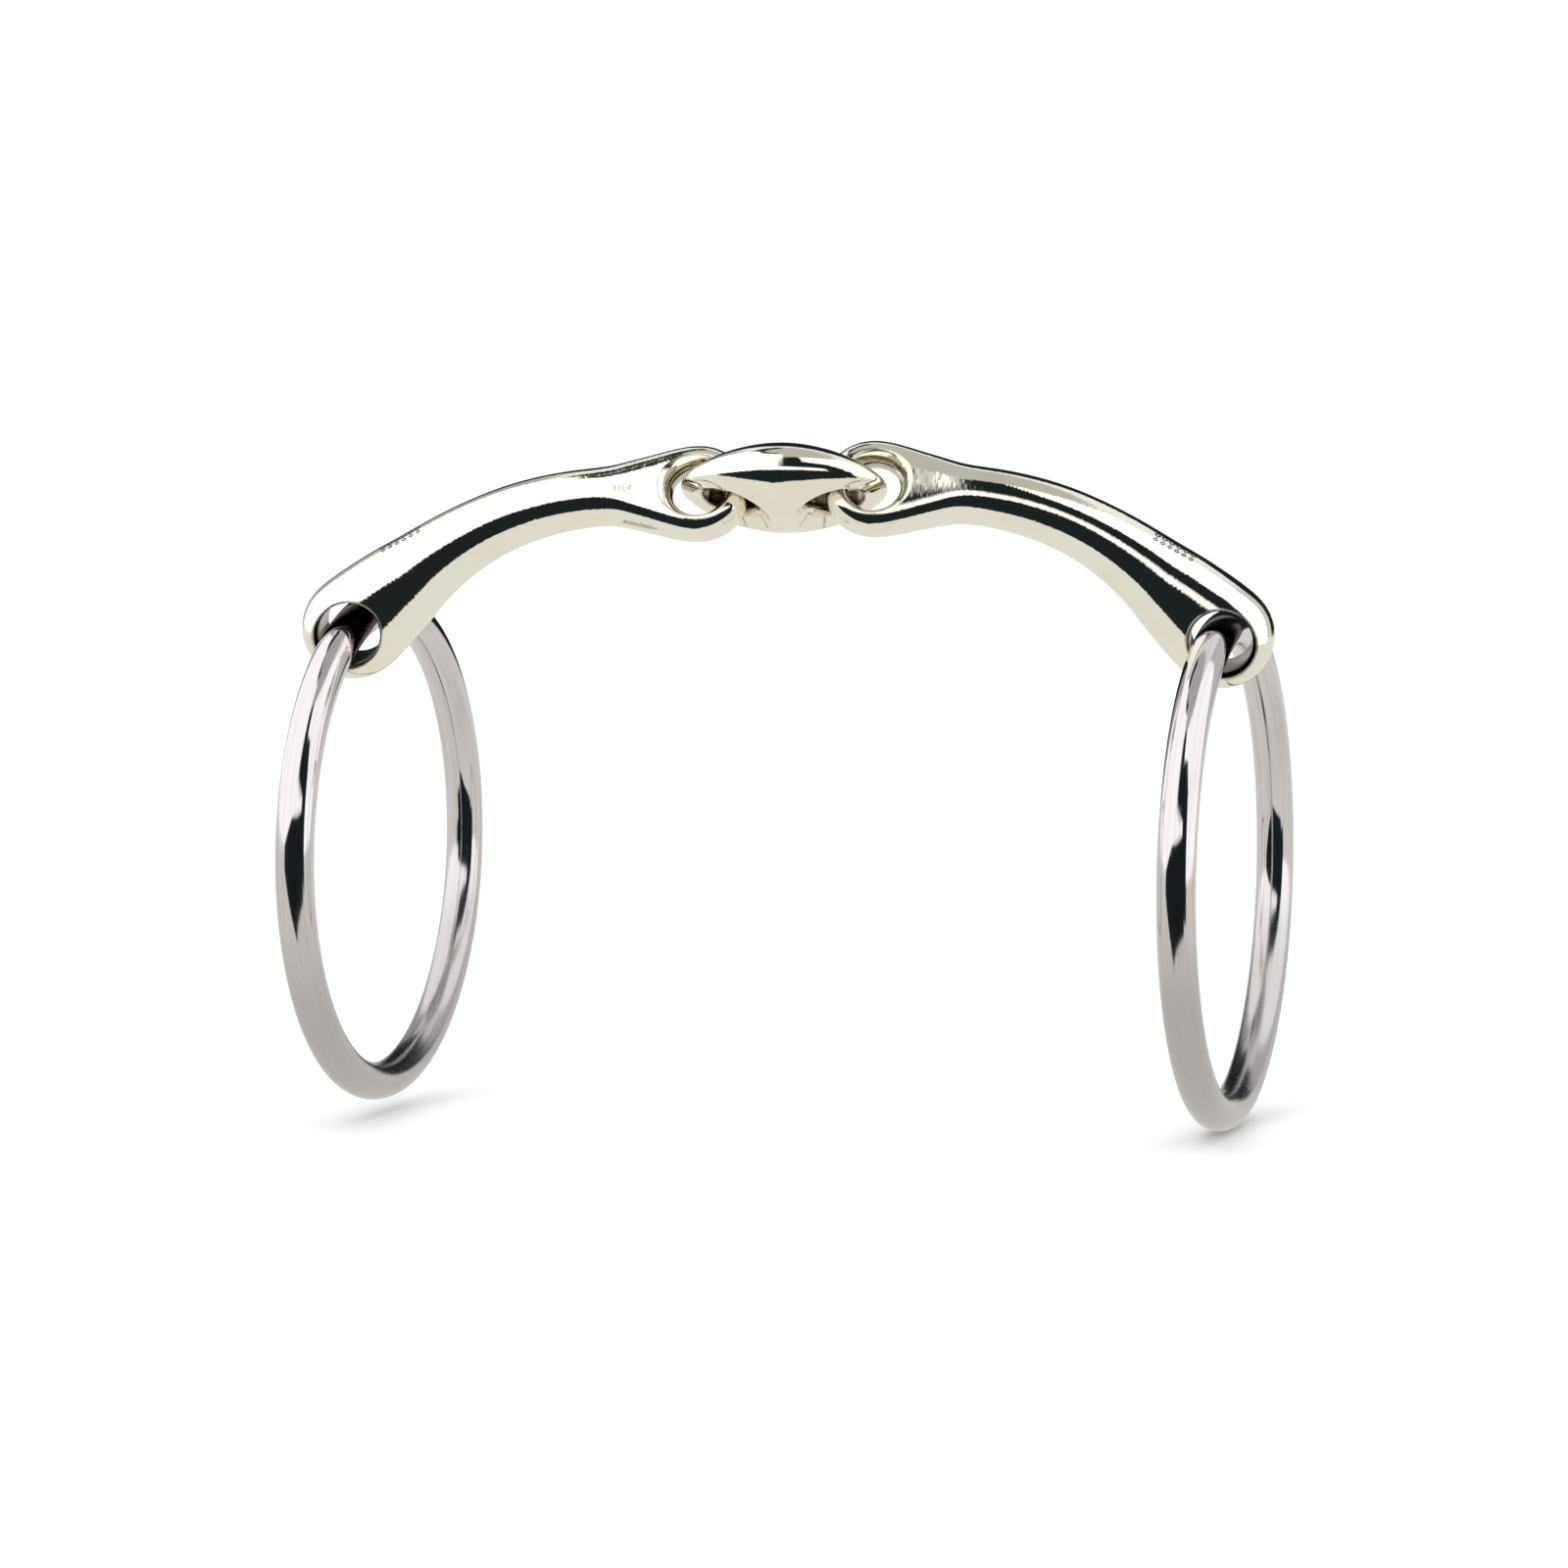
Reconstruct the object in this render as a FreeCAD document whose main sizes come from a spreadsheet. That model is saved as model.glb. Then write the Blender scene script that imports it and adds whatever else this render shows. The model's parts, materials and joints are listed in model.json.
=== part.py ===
"""Loose-ring snaffle bit with a double-jointed mouthpiece: a centre link, two arms and two rings.

Frame: millimetres, +X along the mouthpiece towards the right ring, +Y towards the back, +Z up.
The origin is the centre of the centre link.
"""
import FreeCAD, Part

import math
import os

Vec = FreeCAD.Vector
AROUND = 32  # control points round one section of a skin

SHEET = {
    # centre link
    "link_length": 29.7,
    "link_width": 19.0,
    "link_thickness": 10.7,
    "link_end_thickness": 3.6,
    "link_tilt": 27.0,
    "link_hole_play": 0.55,
    "link_hole_flare": 1.6,
    "link_end_wall": 3.3,
    "link_dish_radius": 9.0,
    "link_dish_floor": 0.9,
    # mouthpiece arms
    "eye_radius": 7.15,
    "eye_hole_radius": 3.8,
    "eye_hole_flare": 1.7,
    "eye_depth": 6.8,
    "neck_radius": 4.2,
    "shank_radius": 4.6,
    "swell_radius": 5.6,
    "bore_end_radius": 7.5,
    "bore_end_depth": 12.6,
    "bore_play": 1.7,
    "bore_flare": 1.3,
    "bore_tilt": 10.0,
    "arm_length": 55.7,
    "bend_angle": 39.5,
    "bend_start": 5.0,
    "bend_end": 49.5,
    "left_eye_draw": 0.9,
    "right_eye_draw": 0.2,
    "left_eye_rise": -0.9,
    "right_eye_rise": -0.1,
    "left_arm_droop": 0.9,
    "right_arm_droop": 2.4,
    # rings
    "ring_outer_diameter": 75.0,
    "wire_diameter": 5.5,
    "left_ring_yaw": 10.9,
    "right_ring_yaw": 10.3,
    "left_ring_slide": -18.6,
    "right_ring_slide": -8.2,
    "wire_seat": 0.4,
}


def make_sheet(doc):
    """Put every driving dimension in the document's sheet and return a reader for it."""
    sheet = doc.addObject("Spreadsheet::Sheet", "Sizes")
    for row, (alias, value) in enumerate(SHEET.items(), start=1):
        sheet.set("A%d" % row, alias)
        sheet.set("B%d" % row, str(value))
        sheet.setAlias("B%d" % row, alias)
    doc.recompute()
    return lambda alias: float(sheet.get(alias))


def monotone(stations, values, where):
    """Smooth curve through (station, value) pairs that adds no bumps between them."""
    count = len(stations)
    steps = [stations[i + 1] - stations[i] for i in range(count - 1)]
    rises = [(values[i + 1] - values[i]) / steps[i] for i in range(count - 1)]
    slopes = [0.0] * count
    for i in range(1, count - 1):
        if rises[i - 1] * rises[i] > 0:
            slopes[i] = 2 * rises[i - 1] * rises[i] / (rises[i - 1] + rises[i])
    where = min(max(where, stations[0]), stations[-1])
    i = max(k for k in range(count - 1) if stations[k] <= where)
    t = (where - stations[i]) / steps[i]
    return (
        (1 + 2 * t) * (1 - t) ** 2 * values[i]
        + t * (1 - t) ** 2 * steps[i] * slopes[i]
        + t * t * (3 - 2 * t) * values[i + 1]
        + t * t * (t - 1) * steps[i] * slopes[i + 1]
    )


def ramp(where, start, end):
    """Smooth step from 0 at start to 1 at end."""
    t = min(max((where - start) / (end - start), 0.0), 1.0)
    return t * t * (3 - 2 * t)


def section(centre, side, depth, half_side, half_depth, exponent):
    """Control points of one closed section: a superellipse in the plane of side and depth."""
    swell = 3 / (2 + math.cos(2 * math.pi / AROUND))
    ring = []
    for k in range(AROUND):
        angle = 2 * math.pi * k / AROUND
        c, s = math.cos(angle), math.sin(angle)
        size = swell * (abs(c) ** exponent + abs(s) ** exponent) ** (-1 / exponent)
        ring.append(centre + side * (size * half_side * c) + depth * (size * half_depth * s))
    return ring


def skin(start, rings, end):
    """Closed solid over a row of sections, rounded to a smooth point at each end.

    The surface is a bicubic B-spline in two halves that meet smoothly along the middle of
    the back and of the belly. Beside each end point the control rings follow the curve's
    own knots, so the end is round and not pointed.
    """
    def cap(point, ring):
        middle = sum(ring, Vec()) * (1.0 / AROUND)
        tip = (middle * 2 + point * 4) * (1 / 6)
        return [tip] * AROUND, [(point * 2 + pole) * (1 / 3) for pole in ring]

    first_tip, first_ring = cap(start, rings[0])
    last_tip, last_ring = cap(end, rings[-1])
    rows = [first_tip, first_ring] + rings + [last_ring, last_tip]
    inner = len(rows) - 4
    surface = Part.BSplineSurface()
    surface.buildFromPolesMultsKnots(
        [list(column) for column in zip(*rows)],
        [1] * (AROUND + 1),
        [4] + [1] * inner + [4],
        [float(k) for k in range(AROUND + 1)],
        [float(k) for k in range(inner + 2)],
        True,
        False,
        3,
        3,
    )
    surface.setUNotPeriodic()
    halves = []
    for first in (0, AROUND // 2):
        half = surface.copy()
        half.segment(first, first + AROUND // 2, 0, inner + 1)
        halves.append(half.toShape())
    shell = Part.Shell(halves)
    shell.sewShape()
    solid = Part.Solid(shell)
    if solid.Volume < 0:
        solid.reverse()
    return solid


def waisted_cutter(centre, axis, throat, flare, straight, reach):
    """Round cutter along an axis: a straight throat that widens in an arc to each mouth."""
    run = reach - straight
    radius = (run * run + flare * flare) / (2 * flare)
    half_turn = math.atan2(run, radius - flare) / 2
    mid = Vec(throat + radius * (1 - math.cos(half_turn)), 0, straight + radius * math.sin(half_turn))
    far = Vec(throat + flare, 0, reach)
    tall = reach * 3

    def flip(point):
        return Vec(point.x, point.y, -point.z)

    low, high = Vec(throat, 0, -straight), Vec(throat, 0, straight)
    edges = [
        Part.LineSegment(low, high).toShape(),
        Part.Arc(high, mid, far).toShape(),
        Part.LineSegment(far, Vec(far.x, 0, tall)).toShape(),
        Part.LineSegment(Vec(far.x, 0, tall), Vec(0, 0, tall)).toShape(),
        Part.LineSegment(Vec(0, 0, tall), Vec(0, 0, -tall)).toShape(),
        Part.LineSegment(Vec(0, 0, -tall), Vec(far.x, 0, -tall)).toShape(),
        Part.LineSegment(Vec(far.x, 0, -tall), flip(far)).toShape(),
        Part.Arc(flip(far), flip(mid), low).toShape(),
    ]
    profile = Part.Face(Part.Wire(edges))
    cutter = profile.revolve(Vec(0, 0, 0), Vec(0, 0, 1), 360)
    cutter.Placement = FreeCAD.Placement(centre, FreeCAD.Rotation(Vec(0, 0, 1), axis))
    return cutter


def tilted(angle):
    """Unit vector that points back along +Y, turned up by an angle in degrees."""
    return Vec(0, math.cos(math.radians(angle)), math.sin(math.radians(angle)))


def spine(size, length):
    """Point and heading of the arm's centre line at a distance from the eye's centre."""
    step = 0.25
    point, along = Vec(0, 0, 0), 0.0

    def heading(distance):
        turn = size("bend_angle") * ramp(distance, size("bend_start"), size("bend_end"))
        return Vec(math.cos(math.radians(turn)), 0, -math.sin(math.radians(turn)))

    if length <= 0:
        return point + heading(0) * length, heading(0)
    while along < length - 1e-9:
        advance = min(step, length - along)
        point = point + heading(along + advance / 2) * advance
        along += advance
    return point, heading(length)


def bore_radius(size):
    """The bore clears the ring's wire by its play all round."""
    return size("wire_diameter") / 2 + size("bore_play")


def link_hole_radius(size):
    """The link's hole takes the wall of an arm's eye, with its play all round."""
    return size("eye_radius") - size("eye_hole_radius") + size("link_hole_play")


def arm_shape(size):
    """Right-hand arm, with its eye's centre at the origin and the arm running to +X."""
    length = size("arm_length")
    eye, end = size("eye_radius"), size("bore_end_radius")
    stations = [0.0, 0.144, 0.245, 0.54, 0.75, 0.85, 1.0]
    sides = [eye, 0.755 * eye, size("neck_radius"), size("shank_radius"), size("swell_radius"),
             0.5 * (size("swell_radius") + end) + 0.1, end]
    depths = [size("eye_depth") / 2, 0.53 * size("eye_depth"), 0.95 * size("neck_radius"),
              0.97 * size("shank_radius"), 0.93 * size("swell_radius"),
              0.46 * size("bore_end_depth"), size("bore_end_depth") / 2]
    powers = [3.2, 2.6, 2.1, 2.05, 2.1, 2.2, 2.4]

    def frame(distance):
        point, heading = spine(size, distance)
        twist = ramp(distance, 0.12 * length, 0.85 * length)
        lean = -size("link_tilt") + (size("link_tilt") + size("bore_tilt")) * twist
        depth = tilted(lean)
        depth = (depth - heading * depth.dot(heading)).normalize()
        return point, depth, heading.cross(depth)

    def ring_at(distance, side, depth_size, power):
        point, depth, across = frame(distance)
        return section(point, across, depth, side, depth_size, power)

    def lookup(table, distance):
        return monotone([length * s for s in stations], table, distance)

    rings = []
    cap_angles = [12, 24, 37, 51, 66, 81]
    for angle in cap_angles:
        turn = math.radians(angle)
        depth_turn = min(1.0, angle / 50) * math.pi / 2
        rings.append(ring_at(-eye * math.cos(turn), eye * math.sin(turn),
                             depths[0] * math.sin(depth_turn), powers[0]))
    count = 24
    for k in range(count + 1):
        distance = 0.8 + (length - 1.6) * k / count
        rings.append(ring_at(distance, lookup(sides, distance), lookup(depths, distance),
                             lookup(powers, distance)))
    for angle in reversed(cap_angles):
        turn = math.radians(angle)
        depth_turn = min(1.0, angle / 62) * math.pi / 2
        rings.append(ring_at(length + end * math.cos(turn), end * math.sin(turn),
                             depths[-1] * math.sin(depth_turn), powers[-1]))
    start = frame(-eye)[0]
    finish = frame(length + end)[0]
    body = skin(start, rings, finish)
    eye_cutter = waisted_cutter(Vec(0, 0, 0), tilted(-size("link_tilt")), size("eye_hole_radius"),
                                size("eye_hole_flare"), 0.3, size("eye_depth") / 2)
    bore_cutter = waisted_cutter(frame(length)[0], tilted(size("bore_tilt")), bore_radius(size),
                                 size("bore_flare"), 0.3 * size("bore_end_depth"),
                                 size("bore_end_depth") / 2)
    return body.cut(eye_cutter).cut(bore_cutter)


def link_shape(size):
    """Centre link, lying flat in XY with its centre at the origin."""
    half, wide = size("link_length") / 2, size("link_width") / 2
    thick, thin = size("link_thickness") / 2, size("link_end_thickness") / 2
    rings = []
    angles = [10, 20, 31, 42, 53, 65, 78, 90, 102, 115, 127, 138, 149, 160, 170]
    for angle in angles:
        turn = math.radians(angle)
        along = -math.cos(turn)
        side = wide * (0.9 * math.sin(turn) ** 0.9 + 0.1 * math.sin(turn) ** 3)
        lens = thin + (thick - thin) * (1 - along * along) ** 1.4
        depth = lens * math.sin(min(1.0, (90 - abs(90 - angle)) / 52) * math.pi / 2)
        rings.append(section(Vec(half * along, 0, 0), Vec(0, 1, 0), Vec(0, 0, 1), side, depth, 2.25))
    body = skin(Vec(-half, 0, 0), rings, Vec(half, 0, 0))
    reach = half - size("link_end_wall") - link_hole_radius(size)
    for sign in (-1, 1):
        cutter = waisted_cutter(Vec(sign * reach, 0, 0), Vec(0, 0, 1), link_hole_radius(size),
                                size("link_hole_flare"), 0.3, size("link_thickness") * 0.42)
        body = body.cut(cutter)
        dish = size("link_dish_radius")
        for face in (-1, 1):
            centre = Vec(sign * (reach + 1.7), 0, face * (dish + size("link_dish_floor")))
            body = body.cut(Part.makeSphere(dish, centre))
    return body


def add_feature(doc, label, shape, placement):
    """Named feature that carries a free-form shape, set in place."""
    feature = doc.addObject("Part::Feature", label)
    feature.Label = label
    feature.Shape = shape
    feature.Placement = placement
    return feature


def eye_centre(size, side):
    """Where the arm's eye stands in the part's frame: drawn in a little from the link's end wall."""
    name = "left" if side < 0 else "right"
    wall = (size("link_length") - size("link_end_wall")) / 2
    return Vec(side * (wall - size(name + "_eye_draw")), 0, size(name + "_eye_rise"))


def bore_centre(size, side):
    """Where the arm's bore centre stands in the part's frame; side is -1 left, +1 right."""
    name = "left" if side < 0 else "right"
    tip = spine(size, size("arm_length"))[0]
    droop = FreeCAD.Rotation(Vec(0, 1, 0), size(name + "_arm_droop"))
    moved = droop.multVec(tip)
    return eye_centre(size, side) + Vec(side * moved.x, moved.y, moved.z)


def add_arm(doc, size, side):
    """Arm with its eye in the link's end and its bore outboard; side is -1 left, +1 right."""
    name = "left" if side < 0 else "right"
    shape = arm_shape(size)
    droop = size(name + "_arm_droop")
    if side < 0:
        shape = shape.mirror(Vec(0, 0, 0), Vec(1, 0, 0))
    turn = FreeCAD.Rotation(Vec(0, 1, 0), side * droop)
    place = FreeCAD.Placement(eye_centre(size, side), turn)
    return add_feature(doc, name + "_arm", shape, place)


def add_ring(doc, size, side):
    """Round-wire ring through an arm's bore, hanging from it."""
    name = "left" if side < 0 else "right"
    ring = doc.addObject("Part::Torus", name + "_ring")
    ring.Label = name + "_ring"
    ring.setExpression("Radius1", "(Sizes.ring_outer_diameter - Sizes.wire_diameter) / 2")
    ring.setExpression("Radius2", "Sizes.wire_diameter / 2")
    yaw, slide = math.radians(size(name + "_ring_yaw")), math.radians(size(name + "_ring_slide"))
    radius = (size("ring_outer_diameter") - size("wire_diameter")) / 2
    level = Vec(math.sin(yaw), math.cos(yaw), 0)
    seat = bore_centre(size, side) + Vec(0, 0, size("wire_seat"))
    centre = seat - level * (radius * math.sin(slide)) - Vec(0, 0, radius * math.cos(slide))
    facing = Vec(math.cos(yaw), -math.sin(yaw), 0)
    ring.Placement = FreeCAD.Placement(centre, FreeCAD.Rotation(Vec(0, 0, 1), facing))
    return ring


def check(doc, parts):
    """Stop if any object failed or any sub-part has no valid shape."""
    for item in doc.Objects:
        if "Invalid" in item.State or "Error" in item.State:
            raise RuntimeError("%s failed: %s" % (item.Name, item.State))
    for part in parts:
        if part.Shape.isNull() or not part.Shape.isValid():
            raise RuntimeError("%s has no valid shape" % part.Label)


def main():
    doc = FreeCAD.newDocument("SnaffleBit")
    size = make_sheet(doc)
    tilt = FreeCAD.Rotation(Vec(1, 0, 0), -size("link_tilt"))
    parts = [add_feature(doc, "centre_link", link_shape(size), FreeCAD.Placement(Vec(), tilt))]
    parts += [add_arm(doc, size, side) for side in (-1, 1)]
    parts += [add_ring(doc, size, side) for side in (-1, 1)]
    doc.recompute()
    check(doc, parts)
    os.makedirs("parts", exist_ok=True)
    for part in parts:
        part.Shape.exportStep("parts/%s.step" % part.Label)
        box = part.Shape.BoundBox
        print("%-12s %9.1f mm3  x %.1f..%.1f  y %.1f..%.1f  z %.1f..%.1f" % (
            part.Label, part.Shape.Volume, box.XMin, box.XMax, box.YMin, box.YMax, box.ZMin, box.ZMax))


main()
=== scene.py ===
"""Loose-ring snaffle bit with a lozenge centre link, dressed and lit as a studio still.

Lengths are metres in the part's own frame: +X runs along the mouthpiece to the right ring,
+Y to the back and +Z up, and the origin is the centre of the centre link. The five forged and
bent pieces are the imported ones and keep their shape. This script gives them their metal, adds
the struck marks on the arms, and sets up the table, the light and the camera.
"""

import json
import logging
import math
from dataclasses import dataclass
from enum import Enum
from typing import Any, Optional, Union

import bpy
import numpy as np
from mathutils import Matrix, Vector


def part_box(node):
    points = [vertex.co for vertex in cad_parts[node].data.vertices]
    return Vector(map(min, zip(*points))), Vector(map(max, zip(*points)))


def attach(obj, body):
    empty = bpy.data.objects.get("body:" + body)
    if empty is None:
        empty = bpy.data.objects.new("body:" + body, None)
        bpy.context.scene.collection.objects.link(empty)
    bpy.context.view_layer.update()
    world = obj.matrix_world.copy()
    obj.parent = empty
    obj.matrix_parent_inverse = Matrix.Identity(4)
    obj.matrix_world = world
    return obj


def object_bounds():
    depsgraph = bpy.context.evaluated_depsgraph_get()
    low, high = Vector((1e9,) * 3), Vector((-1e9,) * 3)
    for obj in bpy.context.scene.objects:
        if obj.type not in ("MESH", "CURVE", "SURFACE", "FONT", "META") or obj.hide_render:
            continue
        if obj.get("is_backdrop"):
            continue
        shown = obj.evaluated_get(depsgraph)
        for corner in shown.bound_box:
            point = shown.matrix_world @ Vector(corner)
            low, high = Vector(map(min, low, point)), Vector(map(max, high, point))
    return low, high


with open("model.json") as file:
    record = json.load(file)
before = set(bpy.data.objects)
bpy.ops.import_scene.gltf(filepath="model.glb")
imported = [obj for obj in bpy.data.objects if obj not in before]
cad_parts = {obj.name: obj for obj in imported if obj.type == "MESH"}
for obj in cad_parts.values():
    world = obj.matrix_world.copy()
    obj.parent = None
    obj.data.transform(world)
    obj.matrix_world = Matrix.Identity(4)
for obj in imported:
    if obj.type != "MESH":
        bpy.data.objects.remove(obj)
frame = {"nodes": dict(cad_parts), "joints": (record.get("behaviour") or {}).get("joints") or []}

logging.basicConfig(level=logging.INFO, format="%(message)s")
log = logging.getLogger("snaffle_bit")

Colour = tuple[float, float, float]
Point = tuple[float, float, float]
Socket = bpy.types.NodeSocket
Value = Union[Socket, float, tuple]

MM = 0.001


class Side(Enum):
    """Which half of the bit a piece belongs to."""

    LEFT = "left"
    RIGHT = "right"

    @property
    def sign(self) -> int:
        """Returns -1 on the left and +1 on the right."""
        return -1 if self is Side.LEFT else 1


# ----------------------------------------------------------------------------- node building


class Graph:
    """A node tree with short calls for the nodes that the finishes are made of."""

    def __init__(self, tree: bpy.types.NodeTree) -> None:
        """Wraps a tree.

        Args:
            tree: the material's or group's node tree.
        """
        self.tree = tree

    def node(self, kind: str, **settings: Any) -> bpy.types.Node:
        """Adds a node.

        Args:
            kind: the node's type name.
            settings: attributes to set on it.

        Returns:
            The new node.
        """
        made = self.tree.nodes.new(kind)
        for name, value in settings.items():
            setattr(made, name, value)
        return made

    def feed(self, socket: Socket, value: Value) -> None:
        """Links a socket to another, or sets its number or colour.

        Args:
            socket: the input to feed.
            value: an output socket, or a plain value.
        """
        if isinstance(value, bpy.types.NodeSocket):
            self.tree.links.new(value, socket)
        else:
            socket.default_value = value

    def maths(self, operation: str, *values: Value, clamp: bool = False) -> Socket:
        """Adds a Math node.

        Args:
            operation: the node's operation.
            values: its inputs in order.
            clamp: whether the result is held between 0 and 1.

        Returns:
            The result.
        """
        made = self.node("ShaderNodeMath", operation=operation, use_clamp=clamp)
        for socket, value in zip(made.inputs, values):
            self.feed(socket, value)
        return made.outputs["Value"]

    def vector(self, operation: str, *values: Value) -> bpy.types.Node:
        """Adds a Vector Math node.

        Args:
            operation: the node's operation.
            values: its inputs in order.

        Returns:
            The node, whose Vector or Value output is wanted.
        """
        made = self.node("ShaderNodeVectorMath", operation=operation)
        for socket, value in zip(made.inputs, values):
            self.feed(socket, value)
        return made

    def mapping(self, vector: Socket, location: Point = (0, 0, 0), rotation: Point = (0, 0, 0),
                scale: Point = (1, 1, 1)) -> Socket:
        """Moves, turns and stretches coordinates.

        Args:
            vector: the coordinates.
            location: the shift, in their own unit.
            rotation: the turn about each axis, in radians.
            scale: the stretch along each axis.

        Returns:
            The new coordinates.
        """
        made = self.node("ShaderNodeMapping")
        self.feed(made.inputs["Vector"], vector)
        self.feed(made.inputs["Location"], location)
        self.feed(made.inputs["Rotation"], rotation)
        self.feed(made.inputs["Scale"], scale)
        return made.outputs["Vector"]

    def noise(self, vector: Value, scale: Value, detail: float = 2.0,
              roughness: float = 0.5) -> Socket:
        """Adds a Noise Texture.

        Args:
            vector: the coordinates.
            scale: how many cells there are to a unit.
            detail: how many finer layers are added.
            roughness: how strong those are.

        Returns:
            The noise, about 0.5.
        """
        made = self.node("ShaderNodeTexNoise")
        self.feed(made.inputs["Vector"], vector)
        self.feed(made.inputs["Scale"], scale)
        self.feed(made.inputs["Detail"], detail)
        self.feed(made.inputs["Roughness"], roughness)
        return made.outputs["Fac"]

    def fade(self, value: Value, start: Value, end: Value, low: float = 0.0,
             high: float = 1.0) -> Socket:
        """Turns a range of values smoothly into another.

        Args:
            value: what is looked at.
            start: the value that gives low.
            end: the value that gives high.
            low: the result at and before start.
            high: the result at and past end.

        Returns:
            The result.
        """
        made = self.node("ShaderNodeMapRange", interpolation_type="SMOOTHSTEP", clamp=True)
        for name, given in (("Value", value), ("From Min", start), ("From Max", end),
                            ("To Min", low), ("To Max", high)):
            self.feed(made.inputs[name], given)
        return made.outputs["Result"]

    def blend(self, share: Value, first: Value, second: Value) -> Socket:
        """Mixes two colours.

        Args:
            share: 0 for the first, 1 for the second.
            first: a colour.
            second: a colour.

        Returns:
            The mixed colour.
        """
        made = self.node("ShaderNodeMix", data_type="RGBA")
        share_in, first_in, second_in = made.inputs[0], made.inputs[6], made.inputs[7]
        self.feed(share_in, share)
        for socket, value in ((first_in, first), (second_in, second)):
            self.feed(socket, value if isinstance(value, bpy.types.NodeSocket) else (*value, 1.0))
        return made.outputs[2]

    def bump(self, height: Socket, strength: float, distance: float,
             under: Optional[Socket] = None) -> Socket:
        """Bends the shading by a height.

        Args:
            height: the height.
            strength: how much of the bend is kept.
            distance: how far a height of 1 stands out, in metres.
            under: the normal that is bent, where it isn't the surface's own.

        Returns:
            The bent normal.
        """
        made = self.node("ShaderNodeBump")
        self.feed(made.inputs["Height"], height)
        self.feed(made.inputs["Strength"], strength)
        self.feed(made.inputs["Distance"], distance)
        if under is not None:
            self.feed(made.inputs["Normal"], under)
        return made.outputs["Normal"]

    def use(self, group: bpy.types.NodeTree, **inputs: Value) -> bpy.types.Node:
        """Places a node group.

        Args:
            group: the group's tree.
            inputs: its input values, with _ for each space of a socket's name.

        Returns:
            The group's node.
        """
        made = self.node("ShaderNodeGroup", node_tree=group)
        for name, value in inputs.items():
            self.feed(made.inputs[name.replace("_", " ")], value)
        return made


class Surface:
    """A new material, with its shader and its object's coordinates at hand."""

    def __init__(self, name: str, metallic: float = 1.0) -> None:
        """Makes the material.

        Args:
            name: the material's name.
            metallic: 1 for a metal, 0 for anything else.
        """
        self.made = bpy.data.materials.new(name)
        self.made.use_nodes = True
        self.graph = Graph(self.made.node_tree)
        self.shader = self.made.node_tree.nodes["Principled BSDF"]
        self.shader.inputs["Metallic"].default_value = metallic
        self.place = self.graph.node("ShaderNodeTexCoord").outputs["Object"]

    def coat(self, colour: Socket, roughness: Value, normal: Optional[Socket] = None) -> bpy.types.Material:
        """Feeds the shader.

        Args:
            colour: the base colour.
            roughness: the roughness.
            normal: the bent normal, where there is one.

        Returns:
            The material.
        """
        self.graph.feed(self.shader.inputs["Base Color"], colour)
        self.graph.feed(self.shader.inputs["Roughness"], roughness)
        if normal is not None:
            self.graph.feed(self.shader.inputs["Normal"], normal)
        return self.made


class Effect:
    """A shader node group that several finishes place with values of their own."""

    def __init__(self, name: str, inputs: dict[str, str], outputs: dict[str, str]) -> None:
        """Makes an empty group with its sockets.

        Args:
            name: the group's name.
            inputs: socket names, each with Float or Vector.
            outputs: socket names, each with Float, Vector or Color.
        """
        self.tree = bpy.data.node_groups.new(name, "ShaderNodeTree")
        for label, kind in inputs.items():
            self.tree.interface.new_socket(label, in_out="INPUT", socket_type="NodeSocket" + kind)
        for label, kind in outputs.items():
            self.tree.interface.new_socket(label, in_out="OUTPUT", socket_type="NodeSocket" + kind)
        self.graph = Graph(self.tree)
        self.given = self.graph.node("NodeGroupInput").outputs
        self.result = self.graph.node("NodeGroupOutput").inputs


def buffing_ripple() -> bpy.types.NodeTree:
    """The slow waves that hand buffing leaves, which bend straight reflections a little.

    The height is Depth times a three-layer noise whose cells are Length long.

    Returns:
        A group with inputs Vector, Length and Depth, and the output Height.
    """
    effect = Effect("BuffingRipple", {"Vector": "Vector", "Length": "Float", "Depth": "Float"},
                    {"Height": "Float"})
    graph = effect.graph
    cells = graph.maths("DIVIDE", 1.0, effect.given["Length"])
    waves = graph.noise(effect.given["Vector"], cells, 3.0, 0.45)
    graph.feed(effect.result["Height"], graph.maths("MULTIPLY", waves, effect.given["Depth"]))
    return effect.tree


def hairlines() -> bpy.types.NodeTree:
    """Fine scratches: the places where a stretched noise crosses its middle value.

    A noise drawn out 40 times along one axis is crossed only along thin, long lines. Patches
    of a wide noise leave most of the surface without any.

    Returns:
        A group with inputs Vector, Density, Width and Cover, and the output Mask.
    """
    sockets = {"Vector": "Vector", "Density": "Float", "Width": "Float", "Cover": "Float"}
    effect = Effect("Hairlines", sockets, {"Mask": "Float"})
    graph = effect.graph
    drawn = graph.mapping(effect.given["Vector"], scale=(1.0, 1 / 40, 1.0))
    level = graph.noise(drawn, effect.given["Density"], 1.0, 0.4)
    off = graph.maths("ABSOLUTE", graph.maths("SUBTRACT", level, 0.5))
    line = graph.fade(off, 0.0, effect.given["Width"], 1.0, 0.0)
    patches = graph.maths("MULTIPLY", effect.given["Density"], 0.11)
    spread = graph.noise(effect.given["Vector"], patches, 2.0, 0.6)
    share = graph.fade(spread, graph.maths("SUBTRACT", 0.72, effect.given["Cover"]),
                       graph.maths("SUBTRACT", 0.86, effect.given["Cover"]))
    graph.feed(effect.result["Mask"], graph.maths("MULTIPLY", line, share))
    return effect.tree


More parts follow.
